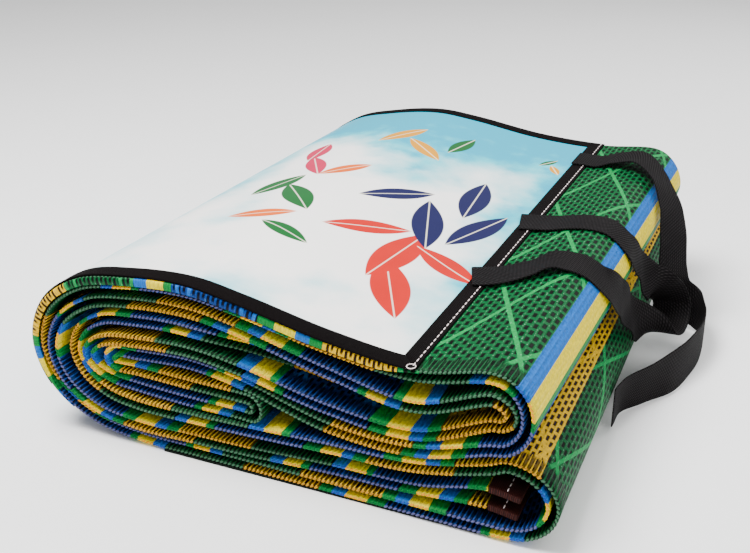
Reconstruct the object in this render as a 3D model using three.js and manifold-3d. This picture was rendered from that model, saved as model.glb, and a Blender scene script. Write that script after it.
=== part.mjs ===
// Waterproof ground mat of woven plastic straw, folded into a packet with two webbing handles.
// Millimetres, +Z up. X runs across the packet, Y from its open front to its folded back.
import * as THREE from 'three';
import { mergeVertices } from 'three/addons/utils/BufferGeometryUtils.js';
import Module from 'manifold-3d';

const wasm = await Module();
wasm.setup();

// Mat: folded once across its width, then back and forth along its length
const DEPTH = 760;            // half the 1.52 m width of the mat
const PLY = 3;                // woven sheet
const PAIR_HALF = 5.4;        // middle of a doubled run to the middle of either ply
const END_HALF = 10.5;        // the same at the bound end, where the plies spring apart
const FRONT_WANDER = 2.5;     // how far the front edges stand in and out of line
const WANDER_WAVES = 61;      // radians of that wander along the whole route
const CORE_RECESS = 30;       // how far the inner end lies behind the front
const GAP = 0.3;              // clearance between pieces that touch

// Places along X where the height of each run is given; 0 is the label's right edge
const STATIONS = {
  left: -340, shoulder: -266, waist: -205, middle: -99, edge: 0, right: 80, rim: 99, tip: 114,
};

// Height of the middle of each doubled run, from the ground up
const RUNS = {
  first:   { left: 11.2,  shoulder: 9.9,   waist: 9.9,   middle: 9.9,   edge: 9.9,  right: 9.9,   rim: 10.6 },
  second:  { left: 28,    shoulder: 28,    waist: 28,    middle: 32,    edge: 34,   right: 44.5,  tip: 41 },
  third:   { left: 56,    shoulder: 55.5,  waist: 56.5,  middle: 59.5,  edge: 61.5, right: 79,    rim: 86 },
  fourth:  { left: 77,    shoulder: 73.5,  waist: 73.5 },
  fifth:   { left: 98,    shoulder: 95.5,  waist: 94.5 },
  sixth:   { left: 118.5, shoulder: 121,   waist: 111.5, middle: 83,    edge: 80,   right: 102.5 },
  seventh: { left: 135,   shoulder: 137.5, waist: 128.5, middle: 105,   edge: 98,   right: 129 },
  eighth:  { left: 160,   shoulder: 163,   waist: 152,   middle: 128 },
  ninth:   { left: 181,   shoulder: 183.5, waist: 174,   middle: 148.5, edge: 132,  right: 159 },
  tenth:   { left: 205.6, shoulder: 209,   waist: 199,   middle: 176.5, edge: 166,  right: 181 },
};

const LOBE_REACH = 148;       // how far the lower right bend goes

// The mat from its bound end to its inner end; reach is how far the bend after a run goes along X
const ROUTE = [
  { run: 'second',  from: 'tip',   to: 'left',   reach: -451 },
  { run: 'ninth',   from: 'left',  to: 'right',  reach: 101 },
  { run: 'seventh', from: 'right', to: 'left',   reach: -402 },
  { run: 'fourth',  from: 'left',  to: 'waist',  reach: -182 },
  { run: 'fifth',   from: 'waist', to: 'left',   reach: -371 },
  { run: 'sixth',   from: 'left',  to: 'right',  reach: 118 },
  { run: 'tenth',   from: 'right', to: 'left',   reach: -471 },
  { run: 'first',   from: 'left',  to: 'rim',    reach: LOBE_REACH },
  { run: 'third',   from: 'rim',   to: 'left',   reach: -422 },
  { run: 'eighth',  from: 'left',  to: 'middle', reach: null },
];
const BEND_STEPS = 6;         // control points round half a turn
const STRAIGHT = 5;           // a bend with longer straight sides gets points at their ends too
const BEND_RADIUS = 10;       // tightest turn that a doubled run can make
const SAMPLES = 2;            // cross-sections for each control point

// How the packet's back differs from its front: heights rise or drop, and the lower right draws in
const LIFT = [{ x: -471, share: -0.08 }, { x: 0, share: 0.13 }, { x: 150, share: 0 }];
const DRAW_IN = 36;           // at the lower right bend
const CREASE = { low: 88, high: 132, share: 0.2 };   // over these heights the draw falls to its share

// Sewn-on pieces; endStep, endHem and endGap count control points along the left bend
const TAPE = { thick: 9, station: 'right' };
const LABEL = {
  thick: 1.4, binding: 2.4, side: 20, hem: 22, inset: 2, back: 8, endStep: 4, endHem: 0.4, endGap: 0.02,
};
const UNDERSIDE = { left: -309, right: 71, thick: 2.5, inset: 3 };
const WEBBING = { width: 50, thick: 2, spacing: 9 };
const ROOTS = { first: 231, second: 407, third: 667 };   // middles of the webbing along the label's edge

const COLOURS = {
  straw: 0x0b7a45, tape: 0x32191c, label: 0xdff1f4, binding: 0x1c1718, underside: 0x1d2422, webbing: 0x1b191b,
};

const lerp = (a, b, share) => a + (b - a) * share;
const smooth = (share) => THREE.MathUtils.smoothstep(share, 0, 1);

// The bend that joins two runs at the same station: half an ellipse, with straight sides where it is long
function bend(start, end, reach) {
  const half = Math.abs(end.z - start.z) / 2;
  const length = Math.abs(reach - start.x);
  const tip = Math.min(length, half * half / BEND_RADIUS);
  const side = Math.sign(reach - start.x);
  const points = [];
  for (let i = 0; i <= BEND_STEPS; i += 1) {
    const angle = Math.PI * i / BEND_STEPS;
    const x = start.x + side * (length - tip + tip * Math.sin(angle));
    const z = lerp(start.z, end.z, (1 - Math.cos(angle)) / 2);
    points.push(new THREE.Vector3(x, 0, z));
  }
  return length - tip > STRAIGHT ? points : points.slice(1, -1);
}

// Stations that a run passes, in the order in which the mat travels
function stationsOf(row) {
  const names = Object.keys(RUNS[row.run]);
  const from = names.indexOf(row.from);
  const to = names.indexOf(row.to);
  return from < to ? names.slice(from, to + 1) : names.slice(to, from + 1).reverse();
}

// Control points at the front, with the place of each run's stations and bends among them
function routeControls() {
  const points = [];
  const marks = {};
  ROUTE.forEach((row, index) => {
    for (const name of stationsOf(row)) {
      marks[`${row.run}.${name}`] = points.length;
      points.push(new THREE.Vector3(STATIONS[name], 0, RUNS[row.run][name]));
    }
    if (row.reach === null) return;
    const next = ROUTE[index + 1];
    const start = points[points.length - 1];
    const end = { x: start.x, z: RUNS[next.run][next.from] };
    const turn = bend(start, end, row.reach);
    marks[`${row.run}.bend`] = points.length - (turn.length > BEND_STEPS ? 0 : 1);
    points.push(...turn);
  });
  return { points, marks };
}

function liftAt(x) {
  const last = LIFT.length - 1;
  if (x <= LIFT[0].x) return LIFT[0].share;
  if (x >= LIFT[last].x) return LIFT[last].share;
  const i = LIFT.findIndex((row) => x < row.x);
  const share = (x - LIFT[i - 1].x) / (LIFT[i].x - LIFT[i - 1].x);
  return lerp(LIFT[i - 1].share, LIFT[i].share, share);
}

function backPoint(point) {
  const ground = RUNS.first.edge;
  const upper = smooth((point.z - CREASE.low) / (CREASE.high - CREASE.low));
  const draw = DRAW_IN * THREE.MathUtils.clamp(point.x / LOBE_REACH, 0, 1) * lerp(1, CREASE.share, upper);
  return new THREE.Vector3(point.x - draw, 0, ground + (point.z - ground) * (1 + liftAt(point.x)));
}

const { points: frontControls, marks } = routeControls();
const FRONT = new THREE.CatmullRomCurve3(frontControls, false, 'centripetal');
const BACK = new THREE.CatmullRomCurve3(frontControls.map(backPoint), false, 'centripetal');
const STEP = 1 / (frontControls.length - 1);
const at = (name, extra = 0) => (marks[name] + extra) * STEP;

// A point beside the route: y from the front, offset to the left of the direction of travel
function place(t, y, offset) {
  const share = y / DEPTH;
  const sides = [FRONT, BACK].map((curve) => {
    const tangent = curve.getTangent(t);
    const point = curve.getPoint(t);
    return new THREE.Vector3(point.x - tangent.z * offset, 0, point.z + tangent.x * offset);
  });
  const point = sides[0].lerp(sides[1], share);
  point.y = y;
  return point;
}

function pairHalf(t) {
  const open = smooth((at('second.edge') - t) / (at('second.edge') - at('second.right')));
  return lerp(PAIR_HALF, END_HALF, open);
}

function frontEdge(t) {
  const wander = FRONT_WANDER * (1 + Math.sin(t * WANDER_WAVES));
  return wander + CORE_RECESS * smooth((t - at('eighth.shoulder')) / (1 - at('eighth.shoulder')));
}

// Both plies and the fold that joins them at the back, as one section: [y, offset] pairs
function foldedSection(t, thick) {
  const outer = pairHalf(t) + thick / 2;
  const inner = pairHalf(t) - thick / 2;
  const crown = DEPTH - outer;
  const front = frontEdge(t);
  const diagonal = Math.SQRT1_2 * outer;
  return [
    [front, outer], [crown, outer], [crown + diagonal, diagonal], [DEPTH, 0], [crown + diagonal, -diagonal],
    [crown, -outer], ...LINES.toReversed().map((y) => [y, -outer]), [front, -outer],
    [front, -inner], [crown, -inner], [crown + inner, 0], [crown, inner], [front, inner],
  ];
}

// The cross-sections between two places on the route: even steps, and the edges of what lies on the mat
function stepsBetween(start, end) {
  const even = Array.from({ length: (frontControls.length - 1) * SAMPLES }, (_, i) => i * STEP / SAMPLES);
  const inside = [...even, ...Object.values(LABEL_PLACES)].filter((t) => t > start + 1e-6 && t < end - 1e-6);
  return [start, ...inside.sort((a, b) => a - b), end];
}

// A closed solid through rings of points, capped at both ends, with its faces outward. Both halves of
// the section are cut along the same diagonal, so that a twisted piece keeps its thickness.
function solidThroughRings(rings, section) {
  const size = section.length;
  const faces = THREE.ShapeUtils.triangulateShape(section, []);
  const indices = [];
  for (let ring = 0; ring < rings.length - 1; ring += 1) {
    for (let i = 0; i < size; i += 1) {
      const a = ring * size + i;
      const b = ring * size + (i + 1) % size;
      const [c, d] = [a + size, b + size];
      indices.push(...(i < size / 2 ? [a, b, d, a, d, c] : [a, b, c, b, d, c]));
    }
  }
  const last = (rings.length - 1) * size;
  const turn = THREE.ShapeUtils.isClockWise(section) ? 1 : -1;
  for (const [a, b, c] of faces) {
    indices.push(...(turn > 0 ? [a, b, c] : [a, c, b]));
    indices.push(...(turn > 0 ? [last + a, last + c, last + b] : [last + a, last + b, last + c]));
  }
  const geometry = new THREE.BufferGeometry();
  const coordinates = rings.flat().flatMap((point) => point.toArray());
  geometry.setAttribute('position', new THREE.Float32BufferAttribute(coordinates, 3));
  geometry.setIndex(indices);
  return facingOut(geometry);
}

function facingOut(geometry) {
  const position = geometry.getAttribute('position');
  const index = geometry.getIndex().array;
  const [a, b, c] = [new THREE.Vector3(), new THREE.Vector3(), new THREE.Vector3()];
  let volume = 0;
  for (let i = 0; i < index.length; i += 3) {
    a.fromBufferAttribute(position, index[i]);
    b.fromBufferAttribute(position, index[i + 1]);
    c.fromBufferAttribute(position, index[i + 2]);
    volume += a.dot(b.cross(c));
  }
  if (volume < 0) {
    for (let i = 0; i < index.length; i += 3) [index[i + 1], index[i + 2]] = [index[i + 2], index[i + 1]];
  }
  geometry.computeVertexNormals();
  return geometry;
}

// The points of a section as the flat shape that its cap is cut into triangles from
const shapeOf = (pairs) => pairs.map(([y, offset]) => new THREE.Vector2(y, offset));

function alongRoute(start, end, sectionAt) {
  const steps = stepsBetween(start, end);
  const rings = steps.map((t) => sectionAt(t).map(([y, offset]) => place(t, y, offset)));
  return solidThroughRings(rings, shapeOf(sectionAt(start)));
}

// The place on the top run or on the bend before it where the front reaches x
function topAt(x) {
  let low = at('sixth.bend', BEND_STEPS / 2);
  let high = at('tenth.left');
  for (let i = 0; i < 40; i += 1) {
    const middle = (low + high) / 2;
    if (FRONT.getPoint(middle).x > x) low = middle;
    else high = middle;
  }
  return (low + high) / 2;
}

// The label's window inside its binding, and where its edges cross the route
const LABEL_NEAR = LABEL.inset + LABEL.hem;
const LABEL_FAR = DEPTH - LABEL.back - LABEL.hem;
const LINES = [LABEL_NEAR, ...Object.values(ROOTS), LABEL_FAR];
const LABEL_PLACES = {
  start: topAt(0),
  panelStart: topAt(-LABEL.side),
  panelEnd: at('tenth.bend', LABEL.endStep - LABEL.endHem),
  end: at('tenth.bend', LABEL.endStep),
};

// Offset of a surface that lies a given height above the outer ply
const above = (height) => -(PAIR_HALF + PLY / 2 + height);

// A sheet over the top run, with its lower and upper faces at the given heights above the mat
function sheetOnTop(start, end, near, far, low, high) {
  const across = [near, ...LINES.filter((y) => y > near && y < far), far];
  const under = across.toReversed().map((y) => [y, above(low)]);
  const over = across.map((y) => [y, above(high)]);
  return alongRoute(start, end, () => [...under, ...over]);
}

function toManifold(geometry) {
  const bare = geometry.clone();
  bare.deleteAttribute('normal');
  const merged = mergeVertices(bare);
  return new wasm.Manifold(new wasm.Mesh({
    numProp: 3,
    vertProperties: new Float32Array(merged.getAttribute('position').array),
    triVerts: new Uint32Array(merged.getIndex().array),
  }));
}

function fromManifold(solid) {
  const mesh = solid.getMesh();
  const geometry = new THREE.BufferGeometry();
  geometry.setAttribute('position', new THREE.BufferAttribute(new Float32Array(mesh.vertProperties), 3));
  geometry.setIndex(Array.from(mesh.triVerts));
  geometry.computeVertexNormals();
  return geometry;
}

function matGeometry() {
  const start = at(`second.${TAPE.station}`) + STEP * GAP / (STATIONS.right - STATIONS.edge);
  return alongRoute(start, 1, (t) => foldedSection(t, PLY));
}

function tapeGeometry() {
  return alongRoute(0, at(`second.${TAPE.station}`), (t) => foldedSection(t, TAPE.thick));
}

function labelGeometry() {
  const { panelStart, panelEnd } = LABEL_PLACES;
  return sheetOnTop(panelStart, panelEnd, LABEL_NEAR, LABEL_FAR, GAP, GAP + LABEL.thick);
}

function bindingGeometry() {
  const { start, panelEnd, end } = LABEL_PLACES;
  const whole = sheetOnTop(start, end, LABEL.inset, DEPTH - LABEL.back, GAP, GAP + LABEL.binding);
  const windowStart = topAt(-LABEL.side + 2 * GAP);
  const windowEnd = panelEnd + STEP * LABEL.endGap;
  const over = GAP + 2 * LABEL.binding;
  const window = sheetOnTop(windowStart, windowEnd, LABEL_NEAR - 2 * GAP, LABEL_FAR + 2 * GAP, -1, over);
  return fromManifold(toManifold(whole).subtract(toManifold(window)));
}

function undersideGeometry() {
  const { left, right, thick, inset } = UNDERSIDE;
  const box = new THREE.BoxGeometry(right - left, DEPTH - 2 * inset, thick);
  return box.translate((left + right) / 2, DEPTH / 2, thick / 2);
}

// Webbing: rows with ride lie on the packet's top at x and y, the others pass through a point in the air.
// The across direction points along the webbing's width.
const ALONG_Y = [0, 1, 0];
const HANDLE_FRONT = [
  { ride: [-22, 223], clear: 3.3 },
  { ride: [0, ROOTS.first], clear: 4.3 },
  { ride: [19, 241], clear: 4.4 },
  { ride: [40, 256], clear: 4.8 },
  { ride: [66, 273], clear: 7 },
  { ride: [93, 287], clear: 1.6 },
  { ride: [113, 301], clear: 1.4 },
  { point: [129.5, 335, 138], across: ALONG_Y },
  { point: [134, 370, 106], across: ALONG_Y },
  { point: [150, 404, 74], across: [0.5, 0.85, 0] },
  { point: [163, 440, 52], across: [1, 0.1, 0] },
  { point: [166, 478, 50], across: [1, 0, 0] },
  { point: [164, 500, 68], across: [1, 0, 0] },
  { point: [156, 484, 92], across: [0.8, 0.5, 0] },
  { point: [141, 456, 114], across: [0.3, 0.9, 0] },
  { point: [129, 438, 142], across: ALONG_Y },
  { ride: [112, 422], clear: 1.4 },
  { ride: [92, 417], clear: 1.4 },
  { ride: [68, 416], clear: 1.4 },
  { ride: [40, 415], clear: 2 },
  { ride: [20, 411], clear: 2.6 },
  { ride: [0, ROOTS.second], clear: 3.6 },
  { ride: [-22, 402], clear: 3.4 },
];
const HANDLE_BACK = [
  { ride: [-22, ROOTS.third], clear: 3.4 },
  { ride: [0, ROOTS.third], clear: 3.4 },
  { ride: [16, 668], clear: 2 },
  { ride: [44, 666], clear: 8 },
  { ride: [78, 650], clear: 14 },
  { ride: [100, 628], clear: 12 },
  { point: [134, 600, 164], across: [0.3, 0.95, 0] },
  { point: [146, 572, 130], across: [0.5, 0.85, 0] },
  { point: [152, 556, 92], across: [0.6, 0.8, 0] },
  { point: [158, 566, 56], across: [0.6, 0.6, 0.5] },
  { point: [177, 575, 37], across: [0.3, 0.1, 1] },
  { point: [199, 552, 28], across: [0, 0, 1] },
  { point: [208, 505, 27], across: [0, 0, 1] },
  { point: [205, 445, 27], across: [-0.1, 0, 1] },
  { point: [190, 380, 27], across: [-0.25, 0, 1] },
  { point: [168, 336, 27], across: [0, 0, 1] },
  { point: [150, 300, 28], across: [0.1, 0, 1] },
  { point: [147, 258, 30], across: [0, 0, 1] },
];

function webbingPoint(row) {
  if (row.point) return new THREE.Vector3(...row.point);
  const [x, y] = row.ride;
  return place(topAt(x), y, above(row.clear + WEBBING.thick / 2));
}

// Along the webbing's width: given in the air, and level with the mat where the webbing lies on it
function webbingAcross(row) {
  if (row.across) return new THREE.Vector3(...row.across).normalize();
  const [x, y] = row.ride;
  const [near, far] = [-1, 1].map((side) => place(topAt(x), y + side * WEBBING.width / 2, above(row.clear)));
  return far.sub(near).normalize();
}

// Corners of the webbing's section, in halves of its width and thickness
const WEBBING_SECTION = [[-1, -1], [1, -1], [1, 1], [-1, 1]];

function webbingGeometry(rows) {
  const controls = rows.map(webbingPoint);
  const acrossAt = rows.map(webbingAcross);
  const curve = new THREE.CatmullRomCurve3(controls, false, 'centripetal');
  const rings = [];
  for (let row = 0; row < rows.length - 1; row += 1) {
    const count = Math.max(1, Math.round(controls[row].distanceTo(controls[row + 1]) / WEBBING.spacing));
    for (let i = 0; i < count; i += 1) rings.push(webbingRing(curve, acrossAt, row + i / count));
  }
  rings.push(webbingRing(curve, acrossAt, rows.length - 1));
  return solidThroughRings(rings, shapeOf(WEBBING_SECTION));
}

function webbingRing(curve, acrossAt, passed) {
  const t = passed / (acrossAt.length - 1);
  const row = Math.min(Math.floor(passed), acrossAt.length - 2);
  const tangent = curve.getTangent(t);
  const across = acrossAt[row].clone().lerp(acrossAt[row + 1], smooth(passed - row));
  across.addScaledVector(tangent, -across.dot(tangent)).normalize();
  const normal = tangent.clone().cross(across);
  const centre = curve.getPoint(t);
  return WEBBING_SECTION.map(([wide, thick]) => centre.clone()
    .addScaledVector(across, wide * WEBBING.width / 2)
    .addScaledVector(normal, thick * WEBBING.thick / 2));
}

function meshOf(name, geometry, colour, roughness) {
  const material = new THREE.MeshStandardMaterial({ color: colour, roughness, metalness: 0 });
  const mesh = new THREE.Mesh(geometry, material);
  mesh.name = name;
  return mesh;
}

const packet = new THREE.Group();
packet.add(
  meshOf('mat', matGeometry(), COLOURS.straw, 0.5),
  meshOf('end_tape', tapeGeometry(), COLOURS.tape, 0.7),
  meshOf('label_panel', labelGeometry(), COLOURS.label, 0.35),
  meshOf('label_binding', bindingGeometry(), COLOURS.binding, 0.8),
  meshOf('underside_panel', undersideGeometry(), COLOURS.underside, 0.8),
  meshOf('handle_front', webbingGeometry(HANDLE_FRONT), COLOURS.webbing, 0.85),
  meshOf('handle_back', webbingGeometry(HANDLE_BACK), COLOURS.webbing, 0.85),
);

// The part's origin is under the middle of everything
const bounds = new THREE.Box3().setFromObject(packet);
packet.position.set(-(bounds.min.x + bounds.max.x) / 2, -(bounds.min.y + bounds.max.y) / 2, -bounds.min.z);
const root = new THREE.Group();
root.add(packet);
root.updateMatrixWorld(true);

export default root;
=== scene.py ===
"""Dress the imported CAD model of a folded, waterproof straw ground mat with two webbing handles.

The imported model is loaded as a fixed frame. Each soft piece is made again here as fine cloth on the
same route as its CAD solid, with its weave, sewn edges and stitches, and stands for that solid.
Lengths in the tables are millimetres in the packet's own frame: X across the packet from the right
edge of the label, Y from the open front to the folded back, Z from the ground up.
"""
from __future__ import annotations

import logging
import math
from dataclasses import dataclass, field
from enum import Enum
from typing import Callable, Iterator, Sequence

import bmesh
import bpy
import numpy as np
from mathutils import Matrix, Vector

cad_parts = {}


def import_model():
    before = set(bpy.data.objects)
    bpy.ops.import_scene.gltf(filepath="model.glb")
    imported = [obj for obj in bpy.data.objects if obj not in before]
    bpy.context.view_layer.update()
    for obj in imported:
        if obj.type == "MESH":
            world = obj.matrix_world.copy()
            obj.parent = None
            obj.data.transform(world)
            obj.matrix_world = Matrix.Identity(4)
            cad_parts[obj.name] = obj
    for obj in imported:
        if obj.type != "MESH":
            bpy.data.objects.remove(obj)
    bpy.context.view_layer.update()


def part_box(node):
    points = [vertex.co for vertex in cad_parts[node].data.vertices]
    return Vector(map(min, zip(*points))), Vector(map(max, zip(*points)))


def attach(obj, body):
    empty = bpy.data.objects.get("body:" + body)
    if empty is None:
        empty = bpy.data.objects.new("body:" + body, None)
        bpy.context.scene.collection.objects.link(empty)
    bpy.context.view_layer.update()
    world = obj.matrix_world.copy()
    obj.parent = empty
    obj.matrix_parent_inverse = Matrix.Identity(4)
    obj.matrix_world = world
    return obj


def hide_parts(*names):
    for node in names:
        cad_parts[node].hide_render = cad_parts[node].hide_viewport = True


LOG = logging.getLogger("mat")

MM = 0.001
BODY = "root"
TINY = 1e-12
TANGENT_STEP = 1e-4
HALVINGS = 40

Tone = tuple[int, int, int]
PointAt = Callable[[int, int], Vector]
UvAt = Callable[[int, int], tuple[float, float]]


# The packet's sizes, as the CAD source has them
STATIONS = {"left": -340, "shoulder": -266, "waist": -205, "middle": -99, "edge": 0, "right": 80, "rim": 99,
            "tip": 114}
RUNS = {
    "first": {"left": 11.2, "shoulder": 9.9, "waist": 9.9, "middle": 9.9, "edge": 9.9, "right": 9.9,
              "rim": 10.6},
    "second": {"left": 28, "shoulder": 28, "waist": 28, "middle": 32, "edge": 34, "right": 44.5, "tip": 41},
    "third": {"left": 56, "shoulder": 55.5, "waist": 56.5, "middle": 59.5, "edge": 61.5, "right": 79,
              "rim": 86},
    "fourth": {"left": 77, "shoulder": 73.5, "waist": 73.5},
    "fifth": {"left": 98, "shoulder": 95.5, "waist": 94.5},
    "sixth": {"left": 118.5, "shoulder": 121, "waist": 111.5, "middle": 83, "edge": 80, "right": 102.5},
    "seventh": {"left": 135, "shoulder": 137.5, "waist": 128.5, "middle": 105, "edge": 98, "right": 129},
    "eighth": {"left": 160, "shoulder": 163, "waist": 152, "middle": 128},
    "ninth": {"left": 181, "shoulder": 183.5, "waist": 174, "middle": 148.5, "edge": 132, "right": 159},
    "tenth": {"left": 205.6, "shoulder": 209, "waist": 199, "middle": 176.5, "edge": 166, "right": 181},
}


@dataclass(frozen=True)
class RouteRow:
    """One run of the mat and how far the bend after it goes along X."""

    run: str
    start: str
    end: str
    reach: float | None


ROUTE = [
    RouteRow("second", "tip", "left", -451), RouteRow("ninth", "left", "right", 101),
    RouteRow("seventh", "right", "left", -402), RouteRow("fourth", "left", "waist", -182),
    RouteRow("fifth", "waist", "left", -371), RouteRow("sixth", "left", "right", 118),
    RouteRow("tenth", "right", "left", -471), RouteRow("first", "left", "rim", 148),
    RouteRow("third", "rim", "left", -422), RouteRow("eighth", "left", "middle", None),
]


def lerp(start: float, end: float, share: float) -> float:
    """Return the value at a share of the way from start to end."""
    return start + (end - start) * share


def smooth(share: float) -> float:
    """Return a share from 0 to 1 eased at both ends."""
    share = min(max(share, 0.0), 1.0)
    return share * share * (3 - 2 * share)


def srgb(red: int, green: int, blue: int, alpha: float = 1.0) -> tuple[float, float, float, float]:
    """Return a linear colour from screen values of 0 to 255; alpha stays as it is."""
    def linear(value: int) -> float:
        share = value / 255
        return share / 12.92 if share <= 0.04045 else ((share + 0.055) / 1.055) ** 2.4

    return linear(red), linear(green), linear(blue), alpha


def grey(value: float) -> tuple[float, float, float, float]:
    """Return a linear grey."""
    return value, value, value, 1.0


class Spline:
    """A centripetal Catmull-Rom curve through points of the X-Z plane or of space."""

    def __init__(self, points: Sequence[Sequence[float]]) -> None:
        """Keep the points, with one more beyond each end."""
        given = np.asarray(points, float)
        self.count = len(given)
        self.points = np.vstack([2 * given[0] - given[1], given, 2 * given[-1] - given[-2]])

    def point(self, t: float) -> np.ndarray:
        """Return the point at a share of the way, counted in control points."""
        passed = min(max(t, 0.0), 1.0) * (self.count - 1)
        index = min(int(passed), self.count - 2)
        w = passed - index
        p0, p1, p2, p3 = self.points[index:index + 4]
        pairs = ((p0, p1), (p1, p2), (p2, p3))
        d0, d1, d2 = (max(float(np.dot(b - a, b - a)), TINY) ** 0.25 for a, b in pairs)
        m1 = ((p1 - p0) / d0 - (p2 - p0) / (d0 + d1) + (p2 - p1) / d1) * d1
        m2 = ((p2 - p1) / d1 - (p3 - p1) / (d1 + d2) + (p3 - p2) / d2) * d1
        return p1 + m1 * w + (3 * (p2 - p1) - 2 * m1 - m2) * w ** 2 + (2 * (p1 - p2) + m1 + m2) * w ** 3

    def tangent(self, t: float) -> np.ndarray:
        """Return the unit direction of travel at t."""
        along = self.point(min(t + TANGENT_STEP, 1)) - self.point(max(t - TANGENT_STEP, 0))
        return along / np.linalg.norm(along)


@dataclass
class Packet:
    """The route of the folded mat, and places beside it."""

    depth: float = 760
    ply: float = 3
    pair_half: float = 5.4
    end_half: float = 10.5
    front_wander: float = 2.5
    wander_waves: float = 61
    core_recess: float = 30
    gap: float = 0.3
    bend_steps: int = 6
    straight: float = 5
    bend_radius: float = 10
    draw_in: float = 36
    lobe_reach: float = 148
    crease_low: float = 88
    crease_high: float = 132
    crease_share: float = 0.2
    near_depths: tuple[float, ...] = (0, 8, 20, 45)
    far_depths: tuple[float, ...] = (120, 200, 290, 380, 470, 560, 650, 710)
    fold_steps: int = 6
    lift: tuple[tuple[float, float], ...] = ((-471, -0.08), (0, 0.13), (150, 0))
    shift: Vector = field(default_factory=Vector)

    def __post_init__(self) -> None:
        """Work out the control points of the front and the back."""
        self.marks: dict[str, int] = {}
        front = self._controls()
        self.front = Spline(front)
        self.back = Spline([self._back_point(*point) for point in front])
        self.step = 1 / (len(front) - 1)

    def _bend(self, start: tuple[float, float], end_z: float, reach: float) -> list[tuple[float, float]]:
        """Return the control points of a bend that joins two runs at one station."""
        half = abs(end_z - start[1]) / 2
        length = abs(reach - start[0])
        tip = min(length, half * half / self.bend_radius)
        side = math.copysign(1, reach - start[0])
        points = []
        for i in range(self.bend_steps + 1):
            angle = math.pi * i / self.bend_steps
            points.append((start[0] + side * (length - tip + tip * math.sin(angle)),
                           lerp(start[1], end_z, (1 - math.cos(angle)) / 2)))
        return points if length - tip > self.straight else points[1:-1]

    def _controls(self) -> list[tuple[float, float]]:
        """Return the control points at the front, and keep where each station and bend is among them."""
        points: list[tuple[float, float]] = []
        for index, row in enumerate(ROUTE):
            names = list(RUNS[row.run])
            first, last = names.index(row.start), names.index(row.end)
            passed = names[first:last + 1] if first < last else names[last:first + 1][::-1]
            for name in passed:
                self.marks[f"{row.run}.{name}"] = len(points)
                points.append((STATIONS[name], RUNS[row.run][name]))
            if row.reach is None:
                continue
            following = ROUTE[index + 1]
            turn = self._bend(points[-1], RUNS[following.run][following.start], row.reach)
            self.marks[f"{row.run}.bend"] = len(points) - (0 if len(turn) > self.bend_steps else 1)
            points.extend(turn)
        return points

    def _back_point(self, x: float, z: float) -> tuple[float, float]:
        """Return where a point of the front profile lies at the back."""
        ground = RUNS["first"]["edge"]
        stations, shares = zip(*self.lift)
        share = float(np.interp(x, stations, shares))
        upper = smooth((z - self.crease_low) / (self.crease_high - self.crease_low))
        draw = self.draw_in * min(max(x / self.lobe_reach, 0), 1) * lerp(1, self.crease_share, upper)
        return x - draw, ground + (z - ground) * (1 + share)

    def at(self, name: str, extra: float = 0) -> float:
        """Return the place of a station or bend on the route, with extra control points after it."""
        return (self.marks[name] + extra) * self.step

    def ply_half(self, t: float) -> float:
        """Return the distance from the middle of the doubled run to the middle of either ply."""
        edge, right = self.at("second.edge"), self.at("second.right")
        return lerp(self.pair_half, self.end_half, smooth((edge - t) / (edge - right)))

    def front_edge(self, t: float) -> float:
        """Return how far the mat's front edge stands behind the front."""
        wander = self.front_wander * (1 + math.sin(t * self.wander_waves))
        start = self.at("eighth.shoulder")
        return wander + self.core_recess * smooth((t - start) / (1 - start))

    def section(self, t: float) -> list[tuple[float, float]]:
        """Return the middle of both plies and the fold between them: (y, offset) pairs."""
        half = self.ply_half(t)
        crown = self.depth - half - self.ply / 2
        front = self.front_edge(t)
        depths = [*(front + depth for depth in self.near_depths), *self.far_depths, crown]
        angles = [math.pi * k / self.fold_steps for k in range(1, self.fold_steps)]
        fold = [(crown + half * math.sin(angle), -half * math.cos(angle)) for angle in angles]
        return [(y, -half) for y in depths] + fold + [(y, half) for y in reversed(depths)]

    def above(self, height: float) -> float:
        """Return the offset of a surface at a height above the outer ply."""
        return -(self.pair_half + self.ply / 2 + height)

    def place(self, t: float, y: float, offset: float) -> Vector:
        """Return a point beside the route.

        Args:
            t: Place on the route, 0 to 1.
            y: Distance from the front.
            offset: Distance to the left of the direction of travel.

        Returns:
            The point in metres in the part's frame.
        """
        ends = []
        for curve in (self.front, self.back):
            point, along = curve.point(t), curve.tangent(t)
            ends.append((point[0] - along[1] * offset, point[1] + along[0] * offset))
        share = y / self.depth
        return self.world(lerp(ends[0][0], ends[1][0], share), y, lerp(ends[0][1], ends[1][1], share))

    def world(self, x: float, y: float, z: float) -> Vector:
        """Return a packet point in metres in the part's frame."""
        return (Vector((x, y, z)) + self.shift) * MM

    def top_at(self, x: float) -> float:
        """Return the place on the top run, or on the bend before it, where the front reaches x."""
        low, high = self.at("sixth.bend", self.bend_steps / 2), self.at("tenth.left")
        for _ in range(HALVINGS):
            middle = (low + high) / 2
            if self.front.point(middle)[0] > x:
                low = middle
            else:
                high = middle
        return (low + high) / 2

    def arc(self, offset_at: Callable[[float], float], places: Sequence[float]) -> np.ndarray:
        """Return the distance travelled at each place, along a line beside the route at the front."""
        points = []
        for t in places:
            point, along = self.front.point(t), self.front.tangent(t)
            offset = offset_at(t)
            points.append((point[0] - along[1] * offset, point[1] + along[0] * offset))
        steps = np.linalg.norm(np.diff(np.array(points), axis=0), axis=1)
        return np.concatenate([[0.0], np.cumsum(steps)])


# Node helpers

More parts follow.
